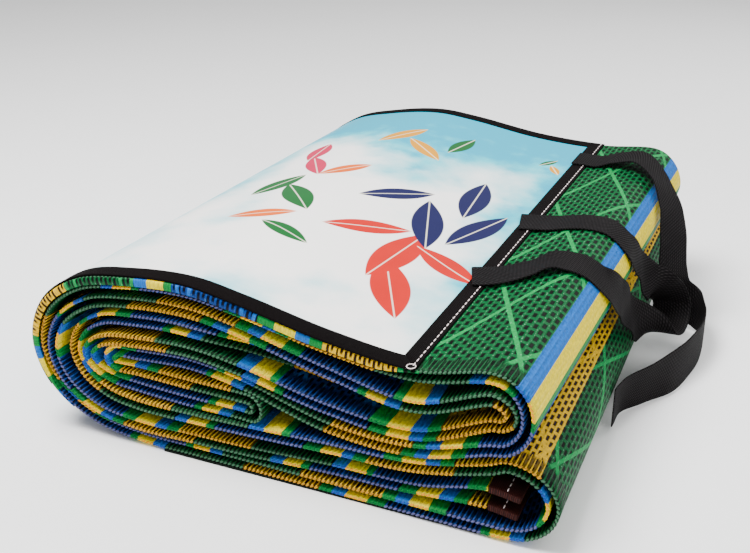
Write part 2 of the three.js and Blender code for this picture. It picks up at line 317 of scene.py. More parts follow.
class Wire:
    """A node's output. Arithmetic on it adds Math nodes."""

    def __init__(self, nodes: Nodes, socket: bpy.types.NodeSocket) -> None:
        """Keep the socket and the helper of its tree."""
        self.nodes = nodes
        self.socket = socket

    def __add__(self, other: float | Wire) -> Wire:
        """Return the sum."""
        return self.nodes.math("ADD", self, other)

    def __sub__(self, other: float | Wire) -> Wire:
        """Return this value less the other."""
        return self.nodes.math("SUBTRACT", self, other)

    def __rsub__(self, other: float) -> Wire:
        """Return the other value less this one."""
        return self.nodes.math("SUBTRACT", other, self)

    def __mul__(self, other: float | Wire) -> Wire:
        """Return the product."""
        return self.nodes.math("MULTIPLY", self, other)

    def __truediv__(self, other: float | Wire) -> Wire:
        """Return the quotient."""
        return self.nodes.math("DIVIDE", self, other)

    def __abs__(self) -> Wire:
        """Return the value without its sign."""
        return self.nodes.math("ABSOLUTE", self)

    def floor(self) -> Wire:
        """Return the whole part."""
        return self.nodes.math("FLOOR", self)

    def from_middle(self) -> Wire:
        """Return how far the fraction is from one half."""
        return abs(self.nodes.math("FRACT", self) - 0.5)


class Nodes:
    """Adds nodes to one node tree and links them."""

    def __init__(self, tree: bpy.types.NodeTree) -> None:
        """Keep the tree."""
        self.tree = tree

    def add(self, kind: str, **values: object) -> bpy.types.Node:
        """Add a node and set its properties."""
        node = self.tree.nodes.new(kind)
        for name, value in values.items():
            setattr(node, name, value)
        return node

    def put(self, socket: bpy.types.NodeSocket, value: object) -> None:
        """Link an output to the socket, or set the socket's own value."""
        if isinstance(value, Wire):
            self.tree.links.new(value.socket, socket)
        else:
            socket.default_value = value

    def out(self, node: bpy.types.Node, name: str | int) -> Wire:
        """Return one of a node's outputs."""
        return Wire(self, node.outputs[name])

    def math(self, operation: str, *values: float | Wire) -> Wire:
        """Add a Math node and return its output."""
        node = self.add("ShaderNodeMath", operation=operation)
        for socket, value in zip(node.inputs, values):
            self.put(socket, value)
        return self.out(node, 0)

    def ramp(self, value: Wire, low: float, high: float) -> Wire:
        """Return a smooth step of the value from 0 at low to 1 at high."""
        node = self.add("ShaderNodeMapRange", interpolation_type="SMOOTHSTEP", clamp=True)
        for name, given in (("Value", value), ("From Min", low), ("From Max", high)):
            self.put(node.inputs[name], given)
        return self.out(node, "Result")

    def mix(self, share: object, under: object, over: object, blend: str = "MIX") -> Wire:
        """Return a colour between two colours."""
        node = self.add("ShaderNodeMix", data_type="RGBA", blend_type=blend)
        factor, colour_a, colour_b, result = 0, 6, 7, 2
        self.put(node.inputs[factor], share)
        self.put(node.inputs[colour_a], under)
        self.put(node.inputs[colour_b], over)
        return self.out(node, result)

    def noise(self, vector: Wire, scale: float, detail: float = 3.0) -> Wire:
        """Return the value of a noise texture."""
        node = self.add("ShaderNodeTexNoise")
        for name, value in (("Vector", vector), ("Scale", scale), ("Detail", detail)):
            self.put(node.inputs[name], value)
        return self.out(node, "Fac")

    def group(self, tree: bpy.types.NodeTree, **values: float | Wire) -> dict[str, Wire]:
        """Place a node group, fill in its inputs (spaces stand for underscores) and return its outputs."""
        node = self.add("ShaderNodeGroup", node_tree=tree)
        for name, value in values.items():
            self.put(node.inputs[name.replace("_", " ")], value)
        return {output.name: Wire(self, output) for output in node.outputs}


def new_group(name: str, inputs: dict[str, float]) -> tuple[Nodes, list[Wire]]:
    """Start a node group of float sockets.

    Args:
        name: The group's name.
        inputs: Names and defaults of its inputs.

    Returns:
        The helper for its tree, and its inputs.
    """
    nodes = Nodes(bpy.data.node_groups.new(name, "ShaderNodeTree"))
    for label, value in inputs.items():
        socket = nodes.tree.interface.new_socket(label, in_out="INPUT", socket_type="NodeSocketFloat")
        socket.default_value = value
    given = nodes.add("NodeGroupInput")
    return nodes, [nodes.out(given, label) for label in inputs]


def close_group(nodes: Nodes, **outputs: Wire) -> bpy.types.NodeTree:
    """Give a node group its outputs and return it."""
    for label in outputs:
        nodes.tree.interface.new_socket(label, in_out="OUTPUT", socket_type="NodeSocketFloat")
    end = nodes.add("NodeGroupOutput")
    for label, value in outputs.items():
        nodes.put(end.inputs[label], value)
    return nodes.tree


def straw_weave_group() -> bpy.types.NodeTree:
    """Make the group that draws rows of straw, the dark dashes between them, which are holes for painted
    shade, the diamond lines, and the straw crests for painted highlights.

    Returns:
        The node group.
    """
    nodes, (along, across, centre, pitch, dash, share, diamond, slope, crossing) = new_group("straw_weave", {
        "Along": 0.0, "Across": 0.0, "Centre": 0.0, "Pitch": 0.006, "Dash": 0.015, "Dash Share": 0.62,
        "Diamond": 0.08, "Slope": 2.9, "Crossing": 0.044})
    dash_end, hole_side, crest_side, line_side = (-0.04, 0.05), (0.2, 0.36), (0.3, 0.5), (0.0018, 0.0028)
    hole_depth, roundness = 0.9, -2.0
    rows = along / pitch
    inside = rows.from_middle()
    stagger = nodes.math("MODULO", rows.floor(), 2.0) * 0.5
    cell = (across / dash + stagger).from_middle()
    length = 1.0 - nodes.ramp(cell - share * 0.5, *dash_end)
    hole = length * (1.0 - nodes.ramp(inside, *hole_side))
    lines = []
    for sign in (1.0, -1.0):
        place = (along - centre + (across - crossing) / slope * sign) / diamond
        lines.append(1.0 - nodes.ramp(place.from_middle() * diamond, *line_side))
    line = nodes.math("MAXIMUM", *lines)
    # Holes between the straws: the material paints shade in them.
    gap = hole * (1.0 - line)
    # Crests of the straws: the material paints a highlight on them.
    crest = nodes.ramp(inside, *crest_side) * (1.0 - length)
    height = 1.0 - inside * inside * roundness - gap * hole_depth
    return close_group(nodes, Gap=gap, Line=line, Crest=crest, Height=height)


def twill_group() -> bpy.types.NodeTree:
    """Make the group that draws the slanting ribs of woven tape.

    Returns:
        The node group.
    """
    nodes, (along, across, pitch, slant) = new_group(
        "tape_twill", {"Along": 0.0, "Across": 0.0, "Pitch": 0.0022, "Slant": 0.6})
    thread_share = 0.8
    rib = ((along + across * slant) / pitch).from_middle()
    grain = (across / (pitch * thread_share)).from_middle()
    return close_group(nodes, Rib=rib * 2.0, Grain=grain * 2.0)


def leaf_group() -> bpy.types.NodeTree:
    """Make the group that draws one plain pointed leaf with a midrib.

    Returns:
        The node group.
    """
    nodes, (x, y, centre_x, centre_y, angle, length, width) = new_group("plain_leaf", {
        "X": 0.0, "Y": 0.0, "Centre X": 0.0, "Centre Y": 0.0, "Angle": 0.0, "Length": 0.1, "Width": 0.03})
    edge_blur, rib_side = 0.0016, (0.0005, 0.0014)
    dx, dy = x - centre_x, y - centre_y
    cos, sin = nodes.math("COSINE", angle), nodes.math("SINE", angle)
    share = (dx * cos + dy * sin) / (length * 0.5)
    aside = abs(dy * cos - dx * sin)
    edge = (1.0 - share * share) * (width * 0.5)
    leaf = nodes.ramp(edge - aside, 0.0, edge_blur)
    rib = 1.0 - nodes.ramp(aside, *rib_side)
    return close_group(nodes, Leaf=leaf, Midrib=rib * leaf)


@dataclass(frozen=True)
class Stripe:
    """One coloured stripe of the mat."""

    width: float
    straw: Tone
    # Painted shade: the colour of the weave's holes and of the shaded front margin between the plies.
    gap: Tone
    line: Tone
    woven: float
    bead: Tone


def narrow(width: float, straw: Tone, gap: Tone, bead: Tone) -> Stripe:
    """Return a stripe of plain straw, which has neither holes nor lines."""
    return Stripe(width, straw, gap, straw, 0.0, bead)


# The third field of each wide stripe and the second colour of each narrow one is painted shade, for the
# weave's holes and the front margin between the plies; plain straw never shows it.
GREEN_WIDE = Stripe(100, (0, 82, 40), (0, 8, 3), (0, 134, 66), 1.0, (60, 100, 74))
YELLOW_WIDE = Stripe(94, (222, 176, 0), (30, 9, 0), (226, 180, 0), 1.0, (186, 132, 26))
BLUE_WIDE = Stripe(107, (0, 56, 130), (0, 3, 18), (10, 94, 180), 1.0, (82, 84, 130))
GREEN = ((0, 122, 52), (0, 60, 30), (0, 94, 44))
YELLOW = ((226, 204, 0), (170, 90, 0), (230, 150, 0))
BLUE = ((18, 98, 180), (6, 50, 110), (26, 66, 150))
STRIPES = [
    GREEN_WIDE, YELLOW_WIDE, narrow(15, *GREEN), narrow(17, *BLUE), narrow(26, *YELLOW), narrow(19, *GREEN),
    BLUE_WIDE, narrow(10, *GREEN), narrow(23, *YELLOW), narrow(17, *BLUE),
]
PERIOD = sum(stripe.width for stripe in STRIPES)


class StripeTone(Enum):
    """Which of a stripe's colours a ramp gives."""

    STRAW = "straw"
    # GAP gives the painted shade colour of the holes and the front margin.
    GAP = "gap"
    LINE = "line"
    BEAD = "bead"


def stripe_ramp(nodes: Nodes, along: Wire, tone: StripeTone) -> tuple[Wire, Wire]:
    """Add a ramp that gives each stripe its colour.

    Args:
        nodes: The tree's helper.
        along: Distance along the mat in metres.
        tone: Which colour of the stripe.

    Returns:
        The colour, and the stripe's share of weave or, with the lines' colour, the place of its middle.
    """
    node = nodes.add("ShaderNodeValToRGB")
    nodes.put(node.inputs[0], nodes.math("FRACT", along / (PERIOD * MM)))
    node.color_ramp.interpolation = "CONSTANT"
    elements = node.color_ramp.elements
    passed = 0.0
    for index, stripe in enumerate(STRIPES):
        start = passed / PERIOD
        element = elements[index] if index < len(elements) else elements.new(start)
        element.position = start
        alpha = (passed + stripe.width / 2) / PERIOD if tone is StripeTone.LINE else stripe.woven
        element.color = srgb(*getattr(stripe, tone.value), alpha=alpha)
        passed += stripe.width
    return nodes.out(node, "Color"), nodes.out(node, "Alpha")


@dataclass(frozen=True)
class Finish:
    """Common settings of a Principled material."""

    name: str
    roughness: float
    specular: float = 0.5
    coat: float = 0.0


class Surface(Nodes):
    """The nodes of a finish's material, with its shader and its coordinates."""

    def __init__(self, finish: Finish) -> None:
        """Make the material."""
        self.material = bpy.data.materials.new(finish.name)
        self.material.use_nodes = True
        super().__init__(self.material.node_tree)
        self.shader = next(node for node in self.tree.nodes if node.type == "BSDF_PRINCIPLED")
        for name, value in (("Roughness", finish.roughness), ("Specular IOR Level", finish.specular),
                            ("Coat Weight", finish.coat)):
            self.put(self.shader.inputs[name], value)
        coordinates = self.add("ShaderNodeTexCoord")
        self.uv, self.object = self.out(coordinates, "UV"), self.out(coordinates, "Object")

    def split_uv(self) -> tuple[Wire, Wire]:
        """Return U and V."""
        node = self.add("ShaderNodeSeparateXYZ")
        self.put(node.inputs[0], self.uv)
        return self.out(node, "X"), self.out(node, "Y")

    def close(self, colour: Wire, height: Wire | None = None, distance: float = 0.0,
              strength: float = 1.0) -> bpy.types.Material:
        """Link the colour and the bump to the shader.

        Args:
            colour: The base colour.
            height: The bump's height, 0 to 1.
            distance: The bump's depth in metres.
            strength: The bump's strength.

        Returns:
            The material.
        """
        self.put(self.shader.inputs["Base Color"], colour)
        if height is not None:
            node = self.add("ShaderNodeBump")
            for name, value in (("Strength", strength), ("Distance", distance), ("Height", height)):
                self.put(node.inputs[name], value)
            self.put(self.shader.inputs["Normal"], self.out(node, 0))
        return self.material


@dataclass(frozen=True)
class StrawFinish(Finish):
    """Woven plastic straw with the mat's stripes, painted shade in its holes and along its front edge, and
    painted highlights on its straw crests.
    """

    name: str = "woven_straw"
    roughness: float = 0.55
    specular: float = 0.08
    pitch: float = 0.006
    dash: float = 0.0155
    bump_depth: float = 0.0007
    # Painted shade along the front edge of each ply of the woven stripes, where the plies shade each other:
    # the distance from the edge over which it fades, in metres, and its strength.
    margin: tuple[float, float] = (0.024, 0.034)
    painted_front_shade: float = 0.85
    double_depth: float = 1.52
    # Painted highlight on the straw crests of woven stripes: its colour and strength.
    painted_highlight: tuple[float, float, float, float] = (0.4, 0.85, 0.55, 1)
    painted_highlight_share: float = 0.36

    def build(self, weave: bpy.types.NodeTree) -> bpy.types.Material:
        """Make the material; the UV map holds metres along and across the mat."""
        nodes = Surface(self)
        along, across = nodes.split_uv()
        straw, woven = stripe_ramp(nodes, along, StripeTone.STRAW)
        # The stripes' painted shade colour, used in the weave's holes and along the front margin.
        gap, _ = stripe_ramp(nodes, along, StripeTone.GAP)
        line, middle = stripe_ramp(nodes, along, StripeTone.LINE)
        period = PERIOD * MM
        centre = ((along / period).floor() + middle) * period
        pattern = nodes.group(weave, Along=along, Across=across, Centre=centre, Pitch=self.pitch,
                              Dash=self.dash)
        grain = nodes.noise(nodes.uv, 260.0, 2.0)
        tint = nodes.mix(nodes.ramp(grain, 0.35, 0.75), grey(0.80), grey(1.12))
        colour = nodes.mix(pattern["Line"] * woven, straw, line)
        # Painted highlight: light spots screened onto the straw crests of woven stripes, where the straws
        # catch the light.
        highlight_spots = nodes.ramp(nodes.noise(nodes.uv, 420.0, 1.0), 0.52, 0.66)
        light = pattern["Crest"] * woven * highlight_spots
        colour = nodes.mix(light * self.painted_highlight_share, colour, self.painted_highlight, "SCREEN")
        # Painted shade in the weave's holes, where shade falls through the open weave.
        colour = nodes.mix(pattern["Gap"] * woven, colour, gap)
        # Painted shade along the front edge of both plies of the woven stripes, where the plies shade each
        # other.
        inside = nodes.math("MINIMUM", across, self.double_depth - across)
        front = (1.0 - nodes.ramp(inside, *self.margin)) * woven
        colour = nodes.mix(front * self.painted_front_shade, colour, gap)
        return nodes.close(nodes.mix(1.0, colour, tint, "MULTIPLY"), pattern["Height"], self.bump_depth)


@dataclass(frozen=True)
class SelvedgeFinish(Finish):
    """Ends of the straws, in their stripe's colour or its lighter bead."""

    name: str = "selvedge_straw"
    roughness: float = 0.55
    specular: float = 0.12
    tone: StripeTone = StripeTone.BEAD
    bump_depth: float = 0.0002

    def build(self) -> bpy.types.Material:
        """Make the material; U is metres along the mat."""
        nodes = Surface(self)
        along, _ = nodes.split_uv()
        colour, _ = stripe_ramp(nodes, along, self.tone)
        grain = nodes.noise(nodes.object, 300.0)
        shade = nodes.mix(nodes.ramp(grain, 0.3, 0.7), grey(0.72), grey(1.1))
        return nodes.close(nodes.mix(1.0, colour, shade, "MULTIPLY"), grain, self.bump_depth)


@dataclass(frozen=True)
class TapeFinish(Finish):
    """Woven tape or webbing in a dark colour."""

    specular: float = 0.05
    dark: Tone = (1, 1, 1)
    light: Tone = (48, 44, 46)
    pitch: float = 0.0046
    slant: float = 0.9
    bump_depth: float = 0.0008
    rib_share: float = 0.7
    fuzz_share: float = 0.3
    least_wear: float = 0.35

    def build(self, twill: bpy.types.NodeTree) -> bpy.types.Material:
        """Make the material; the UV map holds metres along and across the tape."""
        nodes = Surface(self)
        along, across = nodes.split_uv()
        pattern = nodes.group(twill, Along=along, Across=across, Pitch=self.pitch, Slant=self.slant)
        fuzz = nodes.noise(nodes.object, 900.0)
        wear = nodes.noise(nodes.object, 14.0)
        share = pattern["Rib"] * pattern["Grain"] * (wear + self.least_wear)
        height = pattern["Rib"] * self.rib_share + fuzz * self.fuzz_share
        return nodes.close(nodes.mix(share, srgb(*self.dark), srgb(*self.light)), height, self.bump_depth)


@dataclass(frozen=True)
class ThreadFinish(Finish):
    """Pale sewing thread."""

    name: str = "sewing_thread"
    roughness: float = 0.7
    colour: Tone = (214, 190, 190)
    light: Tone = (250, 240, 238)
    bump_depth: float = 0.0002

    def build(self) -> bpy.types.Material:
        """Make the material from Object coordinates."""
        nodes = Surface(self)
        fibre = nodes.noise(nodes.object, 1400.0)
        return nodes.close(nodes.mix(fibre, srgb(*self.colour), srgb(*self.light)), fibre, self.bump_depth)


@dataclass(frozen=True)
class Leaf:
    """One leaf of the label's printed spray, in millimetres from the label's right front corner."""

    x: float
    y: float
    angle: float
    length: float
    width: float
    colour: Tone


RED, NAVY, LEAF_GREEN, ORANGE, PINK, GOLD = (
    (176, 8, 0), (5, 8, 60), (0, 80, 30), (202, 84, 0), (176, 8, 62), (196, 132, 0))
SPRAY = [
    Leaf(92, 150, 62, 120, 40, RED), Leaf(118, 228, 96, 124, 40, RED), Leaf(58, 236, 30, 96, 32, RED),
    Leaf(120, 330, 70, 120, 36, NAVY), Leaf(60, 350, 108, 110, 34, NAVY), Leaf(96, 440, 84, 110, 34, NAVY),
    Leaf(176, 268, 150, 96, 30, RED), Leaf(186, 384, 138, 92, 28, NAVY),
    Leaf(250, 190, 20, 70, 24, LEAF_GREEN), Leaf(300, 226, 150, 74, 24, ORANGE),
    Leaf(290, 300, 50, 90, 34, LEAF_GREEN), Leaf(338, 338, 110, 84, 28, LEAF_GREEN),
    Leaf(330, 430, 60, 84, 26, PINK), Leaf(280, 420, 130, 70, 24, ORANGE), Leaf(360, 500, 84, 80, 26, PINK),
    Leaf(220, 560, 40, 76, 26, GOLD), Leaf(270, 600, 120, 80, 26, GOLD),
    Leaf(180, 610, 100, 70, 22, LEAF_GREEN),
    Leaf(36, 610, 60, 34, 12, GOLD), Leaf(52, 634, 120, 34, 12, LEAF_GREEN),
]


@dataclass(frozen=True)
class LabelFinish(Finish):
    """Laminated printed sheet: a pale sky wash with a spray of plain leaves."""

    name: str = "printed_label"
    roughness: float = 0.36
    specular: float = 0.3
    coat: float = 0.1
    width: float = 0.5
    depth: float = 0.72
    leaf_scale: float = 1.2
    leaf_light: float = 1.3
    paper: Tone = (252, 250, 247)
    sky: Tone = (70, 200, 216)
    deep_sky: Tone = (0, 164, 194)
    midrib: Tone = (255, 250, 230)
    clear: tuple[float, float] = (0.45, 0.42)
    back_start: float = 0.62
    back_share: float = 0.24
    bump_depth: float = 0.002

    def build(self, leaf: bpy.types.NodeTree) -> bpy.types.Material:
        """Make the material; the UV map holds metres from the label's right front corner."""
        nodes = Surface(self)
        x, y = nodes.split_uv()
        cloud, fine = nodes.noise(nodes.uv, 7.0, 5.0), nodes.noise(nodes.uv, 26.0, 4.0)
        beside, before = abs(x / self.width - self.clear[0]), abs(y / self.depth - self.clear[1])
        back = (y / self.depth - self.back_start) * self.back_share
        wash = nodes.math("MAXIMUM", beside, before) + back + (cloud - 0.5) * 0.9
        deep = wash + (fine - 0.5) * 0.5
        colour = nodes.mix(nodes.ramp(wash, 0.12, 0.46), srgb(*self.paper), srgb(*self.sky))
        colour = nodes.mix(nodes.ramp(deep, 0.32, 0.56), colour, srgb(*self.deep_sky))
        for item in SPRAY:
            scale = self.leaf_scale * MM
            mask = nodes.group(leaf, X=x, Y=y, Centre_X=item.x * MM, Centre_Y=item.y * MM,
                               Angle=math.radians(item.angle), Length=item.length * scale,
                               Width=item.width * scale)
            tone = srgb(*item.colour)
            light = tuple(min(1.0, value * self.leaf_light) for value in tone[:3]) + (1.0,)
            colour = nodes.mix(mask["Leaf"], colour, nodes.mix(fine, tone, light))
            colour = nodes.mix(mask["Midrib"] * 0.6, colour, srgb(*self.midrib))
        return nodes.close(colour, nodes.noise(nodes.uv, 9.0, 2.0), self.bump_depth, 0.5)


@dataclass(frozen=True)
class FloorFinish(Finish):
    """Plain pale floor."""

    name: str = "pale_floor"
    roughness: float = 0.8

    def build(self) -> bpy.types.Material:
        """Make the material."""
        nodes = Surface(self)
        return nodes.close(nodes.mix(nodes.noise(nodes.object, 3.0), grey(0.93), grey(0.96)))


# Mesh helpers

def show(name: str, mesh: bpy.types.Mesh, material: bpy.types.Material) -> bpy.types.Object:
    """Put a mesh in the scene as a piece that rides on the part.

    Args:
        name: The piece's name.
        mesh: Its mesh, in place.
        material: Its finish.

    Returns:
        The object.
    """
    piece = bpy.data.objects.new(name, mesh)
    bpy.context.scene.collection.objects.link(piece)
    mesh.materials.append(material)
    mesh.shade_smooth()
    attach(piece, BODY)
    LOG.info("%s: %d faces", name, len(mesh.polygons))
    return piece


def cloth_mesh(name: str, columns: int, rows: int, point_at: PointAt, uv_at: UvAt) -> bpy.types.Mesh:
    """Make a grid and lay each vertex of its columns and rows in place, with its UV."""
    bm = bmesh.new()
    bmesh.ops.create_grid(bm, x_segments=columns, y_segments=rows, size=0.5)
    cells = {}
    for vert in bm.verts:
        cells[vert] = (round((vert.co.x + 0.5) * columns), round((vert.co.y + 0.5) * rows))
    for vert, (i, j) in cells.items():
        vert.co = point_at(i, j)
    layer = bm.loops.layers.uv.new("UVMap")
    for face in bm.faces:
        for loop in face.loops:
            loop[layer].uv = uv_at(*cells[loop.vert])
    mesh = bpy.data.meshes.new(name)
    bm.to_mesh(mesh)
    bm.free()
    return mesh


def cloth(name: str, size: tuple[int, int], point_at: PointAt, uv_at: UvAt, material: bpy.types.Material,
          thick: float) -> bpy.types.Object:
    """Make a piece of cloth from a grid.

    Args:
        name: The piece's name.
        size: Faces along both directions.
        point_at: Gives the place of column i and row j.
        uv_at: Gives the UV of column i and row j.
        material: Its finish.
        thick: Its thickness in millimetres.

    Returns:
        The object.
    """
    piece = show(name, cloth_mesh(name, *size, point_at, uv_at), material)
    solid = piece.modifiers.new("thickness", "SOLIDIFY")
    solid.thickness = thick * MM
    solid.offset = 0.0
    solid.use_even_offset = False
    return piece


def refine(piece: bpy.types.Object) -> None:
    """Round a piece with one step of subdivision."""
    surface = piece.modifiers.new("rounding", "SUBSURF")
    surface.levels = surface.render_levels = 1
    surface.uv_smooth = "PRESERVE_BOUNDARIES"


def ball(bm: bmesh.types.BMesh, rings: int) -> None:
    """Fill a mesh with a round form one unit wide."""
    bmesh.ops.create_uvsphere(bm, u_segments=8, v_segments=rings, radius=0.5)


def sized(size: Sequence[float]) -> Matrix:
    """Return the matrix that gives a unit form its size in millimetres."""
    return Matrix.Diagonal((*(value * MM for value in size), 1.0))


def frame_matrix(origin: Vector, along: Vector, up: Vector) -> Matrix:
    """Return the matrix that puts a small form at a point, with X along a direction and Z near up."""
    x = along.normalized()
    y = up.cross(x).normalized()
    turn = Matrix((x, y, x.cross(y))).transposed().to_4x4()
    return Matrix.Translation(origin) @ turn


@dataclass
class Copies:
    """Copies of one small form, gathered so as to be one mesh."""

    name: str
    shape: Callable[[bmesh.types.BMesh], object] = lambda bm: ball(bm, 5)
    places: list[Matrix] = field(default_factory=list)
    marks: list[float] = field(default_factory=list)

    def add(self, place: Matrix, mark: float = 0.0) -> None:
        """Add a copy, with the U that all of its corners have."""
        self.places.append(place)
        self.marks.append(mark)

    def build(self, material: bpy.types.Material, slot: str | None = None) -> bpy.types.Object:
        """Make the mesh of all the copies.

        Args:
            material: Its finish.
            slot: Not used.

        Returns:
            The object.
        """
        template = bpy.data.meshes.new("template")
        bm = bmesh.new()
        self.shape(bm)
        bm.to_mesh(template)
        bm.clear()
        for place in self.places:
            copy = template.copy()
            copy.transform(place)
            bm.from_mesh(copy)
            bpy.data.meshes.remove(copy)
        mesh = bpy.data.meshes.new(self.name)
        bm.to_mesh(mesh)
        bm.free()
        marks = np.array([(mark, 0.0) for mark in self.marks], np.float32).repeat(len(template.loops), axis=0)
        mesh.uv_layers.new(name="UVMap").data.foreach_set("uv", marks.ravel())
        return show(self.name, mesh, material)


@dataclass(frozen=True)
class StitchLine:
    """A line of stitches: what it leaves free at both ends, its pitch, and the size of a stitch."""

    first: float
    last: float
    pitch: float
    size: tuple[float, float, float]

    def sew(self, piece: Copies, low: float, high: float, place_at: Callable[[float, float], Vector]) -> None:
        """Add the stitches to a piece.

        Args:
            piece: The stitches so far.
            low: Where the sewn edge starts.
            high: Where it ends.
            place_at: Gives the point at a distance along the edge and a height over it.
        """
        y = low + self.first
        while y < high - self.last:
            start, end = place_at(y, 0), place_at(y + self.size[0], 0)
            piece.add(frame_matrix((start + end) / 2, end - start, place_at(y, 1) - start) @ sized(self.size))
            y += self.pitch


class Side(Enum):
    """The two plies of a doubled run, by their side of the direction of travel."""

    OUTER = -1
    INNER = 1


@dataclass
class FoldedMat:
    """The woven mat, its bead edge and the straw ends behind it."""

    packet: Packet
    columns: int = 860
    bead_pitch: float = 5.2
    bead_size: tuple[float, float, float] = (5.6, 2.6, 3.0)
    bead_tilt: float = 26
    bead_step: float = 2e-4
    straw_length: float = 26
    straw_radius: float = 1.15
    straw_sunk: float = 0.45
    # X of the label's edge and of the turned margin's start, and the steps of the top bend that each covers
    label_edge: float = 2
    label_end: float = 4.4
    turned_from: float = 4
    turned_to: float = 4.6
    turned_places: int = 240
    turned_fade: tuple[float, float] = (0.06, 0.14)
    turned_least: float = 0.1
    turned_drop: float = 7.6
    turned_line: float = 68
    turned_thick: float = 1.0
    travel_places: int = 6001
    # Stripe phase: distance travelled less the stripe coordinate, at places along the mat
    phases: dict[Side, tuple[tuple[float, float], ...]] = field(default_factory=lambda: {
        Side.OUTER: ((0, 214), (731, 203), (1605, 220), (2590, 197), (2680, 172), (2740, 174), (2870, 202),
                     (2950, 189.5), (3200, 186), (3600, 179), (3950, 184), (4221, 175), (5100, 190)),
        Side.INNER: ((0, 288), (290, 285), (700, 274), (1240, 286), (2640, 239), (2730, 222), (3190, 229),
                     (3750, 216), (3840, 219), (4150, 198), (4250, 202), (4300, 197), (5100, 225)),
    })

    def __post_init__(self) -> None:
        """Tabulate the distance travelled by each ply and its stripe coordinate."""
        start = self.packet.at("second.right")
        self.places = np.linspace(start, 1.0, self.columns + 1)
        self.fine = np.linspace(0.0, 1.0, self.travel_places)
        self.travel = {
            side: self.packet.arc(lambda t, s=side: s.value * self.packet.ply_half(t), self.fine)
            for side in Side}

    def stripe(self, side: Side, t: float) -> float:
        """Return the stripe coordinate of a ply's front edge at a place, in millimetres."""
        distance = float(np.interp(t, self.fine, self.travel[side]))
        stations, values = zip(*self.phases[side])
        return distance - float(np.interp(distance, stations, values))

    def build(self, straw: bpy.types.Material, bead: bpy.types.Material, tooth: bpy.types.Material) -> None:
        """Args:
            straw: Finish of the woven sheet.
            bead: Finish of the loops on its edge.
            tooth: Finish of the straw ends.
        """
        packet = self.packet
        sections = [packet.section(t) for t in self.places]
        rows = len(sections[0]) - 1
        crown_row = len(packet.near_depths) + len(packet.far_depths)
        stripes = {side: [self.stripe(side, t) for t in self.places] for side in Side}

        def point_at(i: int, j: int) -> Vector:
            y, offset = sections[i][j]
            return packet.place(self.places[i], y, offset)

        def uv_at(i: int, j: int) -> tuple[float, float]:
            y, _ = sections[i][j]
            outer = stripes[Side.OUTER][i]
            if j <= crown_row:
                return outer * MM, y * MM
            inner = stripes[Side.INNER][i]
            inner += PERIOD * round((outer - inner) / PERIOD)
            share = 1 - y / packet.depth if j > rows - crown_row else 0
            return lerp(outer, inner, share) * MM, (2 * packet.depth - y) * MM

        sheet = cloth("mat_sheet", (self.columns, rows), point_at, uv_at, straw, packet.ply)
        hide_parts("mat")
        edges = [self._beads(bead), self._straws(tooth), self._turned_front(straw)]

    def _spots(self) -> Iterator[tuple[Side, float]]:
        """Go through the places of the beads on both plies."""
        for side, travel in self.travel.items():
            start = float(np.interp(self.places[0], self.fine, travel))
            for k in range(int((travel[-1] - start) / self.bead_pitch)):
                yield side, float(np.interp(start + (k + 0.5) * self.bead_pitch, travel, self.fine))

    def _beads(self, material: bpy.types.Material) -> bpy.types.Object:
        """Make the loops that the straws make round the edge."""
        packet = self.packet
        beads = Copies("mat_bead_edge", lambda bm: ball(bm, 4))
        shape = Matrix.Rotation(math.radians(self.bead_tilt), 4, "Z") @ sized(self.bead_size)
        step = self.bead_step
        for side, t in self._spots():
            offset, y = side.value * packet.ply_half(t), packet.front_edge(t)
            along = packet.place(min(t + step, 1), y, offset) - packet.place(t - step, y, offset)
            turned = frame_matrix(packet.place(t, y, offset), along, Vector((0, -1, 0)))
            beads.add(turned @ shape, self.stripe(side, t) * MM)
        return beads.build(material, "straw")

    def _turned_front(self, material: bpy.types.Material) -> bpy.types.Object:
        """Make the front margin of the top ply, which turns down below the label."""
        packet = self.packet
        start, end = packet.top_at(self.turned_from), packet.at("tenth.bend", self.turned_to)
        places = np.linspace(start, end, self.turned_places)
        fade_in, fade_out = (share * (end - start) for share in self.turned_fade)
        rim = [(1.0, 0.0), (-1.6, -0.9), (-2.6, 0.8), (-2.8, 4.0), (-2.2, self.turned_drop)]  # out, down

        def point_at(i: int, j: int) -> Vector:
            t = places[i]
            fade = lerp(self.turned_least, 1.0, smooth((t - start) / fade_in) * smooth((end - t) / fade_out))
            out, down = rim[j]
            return packet.place(t, packet.front_edge(t) + out, -packet.ply_half(t) + down * fade)

        stripes = [self.stripe(Side.OUTER, t) * MM for t in places]
        return cloth("mat_turned_front", (len(places) - 1, len(rim) - 1), point_at,
                     lambda i, j: (stripes[i], (self.turned_line - j) * MM), material,
                     self.turned_thick)

    def _straws(self, material: bpy.types.Material) -> bpy.types.Object:
        """Make the raised straw ends on both faces of each ply, but where another piece lies on it."""
        packet = self.packet
        straws = Copies("mat_straw_ends", lambda bm: bmesh.ops.create_cone(
            bm, cap_ends=True, segments=6, radius1=0.5, radius2=0.3, depth=1.0))
        covered = [(packet.top_at(self.label_edge), packet.at("tenth.bend", self.label_end)),
                   (packet.at("first.left"), packet.at("first.rim"))]
        breadth = 2 * self.straw_radius * MM
        turned = Matrix.Rotation(math.radians(90), 4, "Y")
        for side, t in self._spots():
            y = packet.front_edge(t)
            for face in (-1, 1):
                if side is Side.OUTER and face < 0 and any(low < t < high for low, high in covered):
                    continue
                offset = side.value * packet.ply_half(t) + face * (packet.ply / 2 - self.straw_sunk)
                start, end = packet.place(t, y, offset), packet.place(t, y + self.straw_length, offset)
                up = packet.place(t, y, offset + face) - start
                size = Matrix.Diagonal(((end - start).length, breadth, breadth, 1))
                straws.add(frame_matrix((start + end) / 2, end - start, up) @ size @ turned,
                           self.stripe(side, t) * MM)
        return straws.build(material, "straw")


